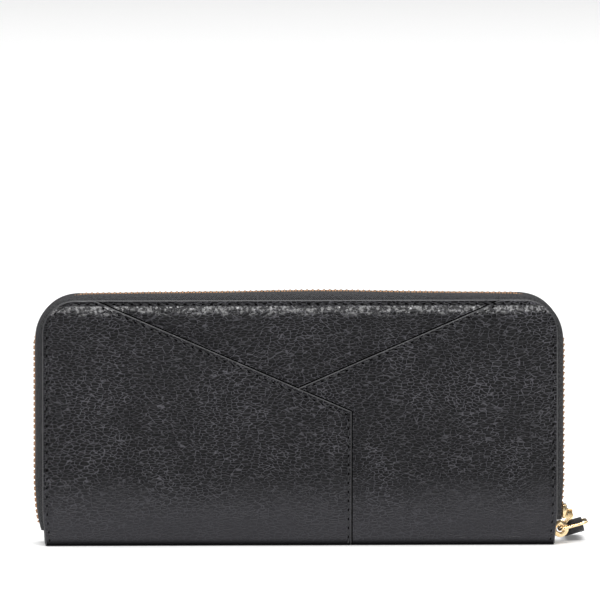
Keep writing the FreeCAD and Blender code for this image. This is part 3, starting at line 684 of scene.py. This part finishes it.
def zip_point(s):
    """The zip's path, bowed outwards a little along both ends."""
    point, out = zip_frame(s)
    bulge = 0.5 * smoothstep(12, 24, point.z) * smoothstep(ARC_X - 2, ARC_X + 10, abs(point.x))
    return point + out * bulge, out


CORNER_MIDDLES = (sum(RUNS[:2]) + RUNS[2] / 2, sum(RUNS[:4]) + RUNS[4] / 2)


def corner_dip(s):
    """How far the meshed edge sinks between the tapes at the two top corners."""
    return max(1.15 * smoothstep(15.0, 8.0, abs(s - m)) for m in CORNER_MIDDLES)


TAPE_FLAT = TAPE_MARGIN - TAPE_ARC
TAPE_CURVE = TAPE_ARC * math.pi / 2
TAPE_RUN = TAPE_DEPTH - TAPE_ARC - TAPE_EDGE
TAPE_WIDTH = TAPE_FLAT + TAPE_CURVE + TAPE_RUN


def tape_section(t, dip=0.0):
    """(distance out from the path, depth from the middle plane) at a distance across the tape."""
    if t < TAPE_FLAT:
        return -TAPE_MARGIN + t, TAPE_DEPTH
    t -= TAPE_FLAT
    if t < TAPE_CURVE:
        a = t / TAPE_ARC
        return -TAPE_ARC + TAPE_ARC * math.sin(a), TAPE_DEPTH - TAPE_ARC + TAPE_ARC * math.cos(a)
    t -= TAPE_CURVE
    near = t / TAPE_RUN
    return 0.10 * math.sin(near * math.pi) - dip * smoothstep(0.0, 1.0, near), TAPE_DEPTH - TAPE_ARC - t


def zip_tape(cover, side):
    bm = flat_grid(0, ZIP_LENGTH, 0, TAPE_WIDTH, 1.0)
    weave = bm.loops.layers.uv.new("weave")
    for face in bm.faces:
        for loop in face.loops:
            loop[weave].uv = (loop.vert.co.x * MM, loop.vert.co.z * MM)
    for v in bm.verts:
        s, t = v.co.x, v.co.z
        point, out = zip_point(s)
        w, depth = tape_section(t, corner_dip(s))
        ripple = 0.10 * noise.noise(Vector((s / 9, t / 6, side * 3.0)))
        v.co = point + out * (w + ripple * smoothstep(1, 4, t)) + Vector((0, side * depth, 0))
    outward_at = bm.faces[:][len(bm.faces) // 2]
    bm.normal_update()
    if outward_at.normal.dot(Vector((outward_at.calc_center_median().x, side * 8, 60))) < 0:
        bmesh.ops.reverse_faces(bm, faces=bm.faces)
    obj = piece(f"{cover}_woven_tape", bm, TAPE_WEAVE)
    thickened(obj, 0.45)
    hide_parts(f"{cover}_zip_tape", f"{cover}_zip_tape_side")
    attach(obj, f"{cover}_cover")
    return obj


PITCH = 2.1
TOOTH = 0.95
TOOTH_SINK = 0.26


def zip_teeth(cover, side):
    """A row of cast teeth: a rounded clamp over the tape's edge with a narrower hooked head."""
    bm = bmesh.new()
    s = PITCH * 1.5 + (0 if side < 0 else PITCH / 2)
    last = ZIP_LENGTH - (12.0 - TAPE_LOW_RIGHT)
    while s <= last:
        point, out = zip_point(s)
        along = out.cross(Vector((0, 1, 0)))
        made = bmesh.ops.create_cube(bm, size=1.0)["verts"]
        edges = list({e for v in made for e in v.link_edges})
        shaped = bmesh.ops.bevel(bm, geom=edges, offset=0.24, segments=1, profile=0.5, affect="EDGES",
                                 material=-1)["verts"]
        dip = corner_dip(s)
        for v in shaped:
            reach = v.co.y + 0.5
            depth = 2.9 - reach * 3.45
            wide = 2.0 - 0.55 * smoothstep(0.55, 1.0, reach)
            long = TOOTH * (1.0 - 0.25 * smoothstep(0.7, 1.0, reach))
            sink = TOOTH_SINK * (1 + max(0.0, out.z)) + 0.35 * smoothstep(0.3, 0.9, reach)
            v.co = (point + out * (v.co.x * wide - sink - dip) + along * (v.co.z * long)
                    + Vector((0, side * depth, 0)))
        s += PITCH
    outward(bm)
    obj = piece(f"{cover}_tooth_row", bm, TOOTH_GOLD)
    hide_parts(f"{cover}_zip_teeth")
    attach(obj, f"{cover}_cover")
    return obj


for cover, side in COVERS.items():
    zip_tape(cover, side)
    zip_teeth(cover, side)

# ------------------------------------------------------------------ lining, pockets, pocket stitching and foam
def ripple(x, z):
    """The shallow waves that every layer of a cover shares."""
    return 0.16 * noise.noise(Vector((x / 30, 5.0, z / 24)))


def inner_layer(node, cover, side, material, rim, thickness):
    """A thin layer on the inside of a cover, from the node's own outline."""
    low, high = mm_box(node)
    depth = min(abs(low[1]), abs(high[1]))
    bm = flat_grid(low[0], high[0], low[2], high[2], 2.5)
    for v in bm.verts:
        v.co.y = side * (depth + ripple(v.co.x, v.co.z))
    if side < 0:
        bmesh.ops.reverse_faces(bm, faces=bm.faces)
    obj = piece(node + "_layer", bm, material, rim)
    thickened(obj, thickness, rim=1)
    rounded(obj, 0.08, 2)
    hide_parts(node)
    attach(obj, f"{cover}_cover")
    return obj, (high[0] - low[0], high[2] - low[2])


def add_dash(bm, centre, way, long=1.2, thick=0.24):
    made = bmesh.ops.create_uvsphere(bm, u_segments=8, v_segments=6, radius=thick)["verts"]
    turn = Vector((0, 0, 1)).rotation_difference(way).to_matrix().to_4x4()
    stretch = Matrix.Diagonal((1, 1, long / thick, 1))
    bmesh.ops.transform(bm, matrix=Matrix.Translation(centre) @ turn @ stretch, verts=made)


def pocket_depth(cover, z):
    """The inner face of the innermost pocket layer that reaches this height."""
    depths = []
    for node in [f"{cover}_slip_pocket"] + [f"{cover}_card_pocket_{k}" for k in range(1, 5)]:
        low, high = mm_box(node)
        if high[2] > z:
            depths.append(min(abs(low[1]), abs(high[1])))
    return min(depths)


for cover, side in COVERS.items():
    lining, size = inner_layer(f"{cover}_lining", cover, side, LINING, LINING, 0.45)
    for node in [f"{cover}_slip_pocket"] + [f"{cover}_card_pocket_{k}" for k in range(1, 5)]:
        pocket, size = inner_layer(node, cover, side, POCKET_SKIN, EDGE_PAINT, 0.34)
    bm = bmesh.new()
    cards = mm_box(f"{cover}_card_pocket_1")
    for x in (cards[0][0] + 1.4, 0.0, cards[1][0] - 1.4):
        z = cards[0][2] + 2
        while z < cards[1][2] - 1:
            y = side * (pocket_depth(cover, z + 1.3) + ripple(x, z) - 0.02)
            add_dash(bm, Vector((x, y, z)), Vector((0, 0, 1)))
            z += STITCH
    for k in range(1, 5):
        top = mm_box(f"{cover}_card_pocket_{k}")[1][2] - 1.6
        x = cards[0][0] + 3.5
        while x < cards[1][0] - 3:
            y = side * (pocket_depth(cover, top) + ripple(x, top) - 0.02)
            add_dash(bm, Vector((x, y, top)), Vector((1, 0, 0)))
            x += STITCH
    seams = piece(f"{cover}_pocket_stitching", bm, THREAD)
    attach(seams, f"{cover}_cover")
    foam = softened(f"{cover}_foam", FOAM, 0.35, 3)

# ------------------------------------------------------------------ spine lining, gussets and coin pocket
low, high = mm_box("spine_lining")
bm = flat_grid(low[0], high[0], low[1], high[1], 2.5)
for v in bm.verts:
    v.co = Vector((v.co.x, v.co.z, high[2] + 0.1 * noise.noise(Vector((v.co.x / 20, v.co.z / 6, 1)))))
bm.normal_update()
spine_lining = piece("spine_lining_cloth", bm, LINING)
thickened(spine_lining, 0.4)
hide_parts("spine_lining")
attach(spine_lining, "spine")

FOLDS = 4
for cover, side in COVERS.items():
    for end, hand in (("left", -1), ("right", 1)):
        node = f"{cover}_gusset_{end}"
        low, high = mm_box(node)
        near, far = sorted((abs(low[1]), abs(high[1])))
        middle, swing = (low[0] + high[0]) / 2, (high[0] - low[0]) / 2 - 0.2
        bm = flat_grid(0, FOLDS, low[2], high[2], 0.11)
        for v in bm.verts:
            u = v.co.x
            wave = math.cos(math.pi * u)
            wave = math.copysign(abs(wave) ** 0.7, wave)
            x = middle - hand * swing * wave
            y = side * (near + 0.2 + (far - near - 0.4) * (u - 0.13 * math.sin(2 * math.pi * u)) / FOLDS)
            v.co = Vector((x, y, v.co.z))
        gusset = piece(node + "_fold", bm, POCKET_SKIN)
        thickened(gusset, 0.3, offset=0.0)
        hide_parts(node)
        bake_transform(gusset)

for cover, side in COVERS.items():
    low, high = mm_box(f"coin_wall_{cover}")
    bm = flat_grid(low[0], high[0], low[2], high[2], 2.5)
    for v in bm.verts:
        v.co.y = side * (max(abs(low[1]), abs(high[1])) - 0.05 + 0.12 * noise.noise(v.co / 16))
    if side > 0:
        bmesh.ops.reverse_faces(bm, faces=bm.faces)
    wall = piece(f"coin_wall_{cover}_cloth", bm, LINING)
    thickened(wall, 0.45)
    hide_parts(f"coin_wall_{cover}")
    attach(wall, "spine")

    low, high = mm_box(f"coin_tape_{cover}")
    stand = high[2] - low[2]
    reach = abs(high[1] - low[1])
    outer = max(abs(low[1]), abs(high[1]))
    bend = 0.9
    bm = flat_grid(low[0], high[0], 0, stand + reach - 0.4, 0.6)
    weave = bm.loops.layers.uv.new("weave")
    for face in bm.faces:
        for loop in face.loops:
            loop[weave].uv = (loop.vert.co.x * MM, loop.vert.co.z * MM)
    for v in bm.verts:
        t = v.co.z
        up = min(t, stand - bend)
        a = min(1.0, max(0.0, (t - up) / (bend * math.pi / 2))) * math.pi / 2
        over = max(0.0, t - up - bend * math.pi / 2)
        v.co = Vector((v.co.x, side * (outer - bend + bend * math.cos(a) - over),
                       low[2] + up + bend * math.sin(a)))
    if side > 0:
        bmesh.ops.reverse_faces(bm, faces=bm.faces)
    tape = piece(f"coin_tape_{cover}_woven", bm, TAPE_WEAVE)
    thickened(tape, 0.35)
    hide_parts(f"coin_tape_{cover}")
    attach(tape, "spine")

for end, hand in (("left", -1), ("right", 1)):
    low, high = mm_box(f"coin_side_{end}")
    bm = flat_grid(low[1], high[1], low[2], high[2], 0.8)
    outer = max(abs(low[0]), abs(high[0]))
    for v in bm.verts:
        tuck = 0.5 * math.cos(v.co.x / high[1] * math.pi / 2)
        v.co = Vector((hand * (outer - tuck), v.co.x, v.co.z))
    if hand < 0:
        bmesh.ops.reverse_faces(bm, faces=bm.faces)
    strip = piece(f"coin_side_{end}_cloth", bm, LINING)
    thickened(strip, 0.3)
    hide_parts(f"coin_side_{end}")
    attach(strip, "spine")

# ------------------------------------------------------------------ hard trim
for node in ("zip_slider", "slider_crown", "pull_bail", "pull_link", "pull_ring", "coin_slider", "coin_pull"):
    softened(node, GOLD, 0.22 if node in ("zip_slider", "pull_link") else 0.12, 3)
for node in ("coin_teeth_front", "coin_teeth_rear"):
    softened(node, TOOTH_GOLD, 0.12, 1)
for node in ("front_board", "rear_board", "spine_board"):
    board = frame["nodes"][node]
    board.data.materials.clear()
    board.data.materials.append(BOARD)

# ------------------------------------------------------------------ leather tab on the ring's far bar
RING_WIRE = 0.5
low, high = mm_box("pull_ring")
tilt = math.atan2(high[2] - low[2] - 2 * RING_WIRE, high[0] - low[0] - 2 * RING_WIRE)
RING_TILT = Matrix.Rotation(-tilt, 4, "Y")
RING_AT = Vector((low[0] + RING_WIRE, 0, low[2] + RING_WIRE))
BAR_Y = high[1] - RING_WIRE
TAB_LEFT, TAB_RIGHT, TAB_THICK = 1.8, 9.3, 2.2
LOOP_RADIUS = 1.35
TAB_STITCHES, TAB_FIRST, TAB_STEP, TAB_SEAM_INSET = 9, 0.42, 0.065, 1.1
TAB_PATH = [Vector((0, BAR_Y + away, drop))
            for away, drop in ((0, 0.0), (1.4, -1.9), (4.0, -3.2), (9.4, -3.8), (28.4, -3.9))]


def along_path(t):
    """A smooth point on the tab's middle line, from the bar at 0 to the free end at 1."""
    place = t * (len(TAB_PATH) - 1)
    k = min(int(place), len(TAB_PATH) - 2)
    before, after = TAB_PATH[max(0, k - 1)], TAB_PATH[min(len(TAB_PATH) - 1, k + 2)]
    a, b, f = TAB_PATH[k], TAB_PATH[k + 1], place - k
    m0, m1 = (b - before) / 2, (after - a) / 2
    return (a * (2 * f ** 3 - 3 * f ** 2 + 1) + m0 * (f ** 3 - 2 * f ** 2 + f)
            + b * (3 * f ** 2 - 2 * f ** 3) + m1 * (f ** 3 - f ** 2))


def ring_space(bm):
    bmesh.ops.transform(bm, matrix=Matrix.Translation(RING_AT) @ RING_TILT, verts=bm.verts)


bm = bmesh.new()
bmesh.ops.create_grid(bm, x_segments=10, y_segments=60, size=1.0)
for v in bm.verts:
    point = along_path((v.co.y + 1) / 2)
    v.co = Vector((TAB_LEFT + (v.co.x + 1) / 2 * (TAB_RIGHT - TAB_LEFT), point.y, point.z))
ring_space(bm)
tab = piece("pull_tab_strap", bm, TAB_SKIN, EDGE_PAINT)
thickened(tab, TAB_THICK, rim=1, offset=0.0)
rounded(tab, 0.3, 3)
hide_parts("pull_tab")
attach(tab, "pull_tab")

bm = bmesh.new()
bmesh.ops.create_cone(bm, cap_ends=True, segments=32, radius1=LOOP_RADIUS, radius2=LOOP_RADIUS,
                      depth=TAB_RIGHT - TAB_LEFT)
bmesh.ops.transform(bm, matrix=Matrix.Translation(((TAB_LEFT + TAB_RIGHT) / 2, BAR_Y, 0))
                    @ Matrix.Rotation(math.pi / 2, 4, "Y"), verts=bm.verts)
ring_space(bm)
loop = piece("pull_tab_loop", bm, TAB_SKIN)
rounded(loop, 0.25, 3)
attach(loop, "pull_tab")

bm = bmesh.new()
for across in (TAB_LEFT + TAB_SEAM_INSET, TAB_RIGHT - TAB_SEAM_INSET):
    for k in range(TAB_STITCHES):
        t = TAB_FIRST + TAB_STEP * k
        point, ahead = along_path(t), along_path(t + 0.01)
        way = (ahead - point).normalized()
        up = Vector((0, -way.z, way.y))
        for face in (1, -1):
            spot = Vector((across, point.y, point.z)) + up * (face * (TAB_THICK / 2 - 0.02))
            add_dash(bm, spot, way, 0.9, 0.2)
ring_space(bm)
tab_stitches = piece("pull_tab_stitching", bm, THREAD)
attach(tab_stitches, "pull_tab")

# ------------------------------------------------------------------ floor, light and camera
bm = bmesh.new()
FLOOR_HALF, FLOOR_BACK = 2600, 2260
bmesh.ops.create_grid(bm, x_segments=1, y_segments=1, size=FLOOR_HALF)
bmesh.ops.translate(bm, verts=bm.verts, vec=(0, FLOOR_BACK, -0.05))
floor_paint, tree, shader = nodes_of("pale floor")
shader.inputs["Base Color"].default_value = (0.92, 0.92, 0.92, 1)
shader.inputs["Roughness"].default_value = 0.9
shader.inputs["Emission Color"].default_value = (1, 1, 1, 1)
shader.inputs["Emission Strength"].default_value = 0.15
floor = piece("floor", bm, floor_paint, smooth=False)

world = bpy.data.worlds.new("studio")
bpy.context.scene.world = world
world.use_nodes = True
tree = world.node_tree
ray = add(tree, "ShaderNodeLightPath").outputs["Is Camera Ray"]
seen = ramp(tree, ray, 0.0, 1.0, 0.10, 1.0, smooth=False)
tree.links.new(seen, tree.nodes["Background"].inputs["Strength"])
tree.nodes["Background"].inputs["Color"].default_value = (1, 1, 1, 1)


def soft_box(name, place, aim, size, power):
    light = bpy.data.lights.new(name, "AREA")
    light.shape = "RECTANGLE"
    light.size, light.size_y = size
    light.energy = power
    obj = bpy.data.objects.new(name, light)
    obj.location = place
    obj.rotation_euler = (Vector(aim) - Vector(place)).to_track_quat("-Z", "Y").to_euler()
    bpy.context.collection.objects.link(obj)
    return obj


soft_box("key", (0, -0.75, 0.95), (0, 0, 0.08), (0.9, 0.20), 12)
soft_box("floor wash", (0, 1.9, 3.0), (0, 1.9, 0), (6.0, 5.4), 200)

camera = bpy.data.objects.new("camera", bpy.data.cameras.new("camera"))
bpy.context.collection.objects.link(camera)
bpy.context.scene.camera = camera
ELEVATION = math.radians(4.0)
DISTANCE = 5.0
VIEW_WIDTH = 0.222
AZIMUTH = math.radians(2.0)
aim = Vector((-0.0001, -DEPTH * MM, 0.0913))
back = Vector((-math.sin(AZIMUTH) * math.cos(ELEVATION), -math.cos(AZIMUTH) * math.cos(ELEVATION),
               math.sin(ELEVATION)))
camera.location = aim + back * DISTANCE
camera.rotation_euler = (math.pi / 2 - ELEVATION, 0, -AZIMUTH)
camera.data.sensor_width = 36.0
camera.data.lens = 36.0 * DISTANCE / VIEW_WIDTH
camera.data.clip_end = 50
bpy.context.scene.view_settings.view_transform = "Standard"

bpy.context.view_layer.update()
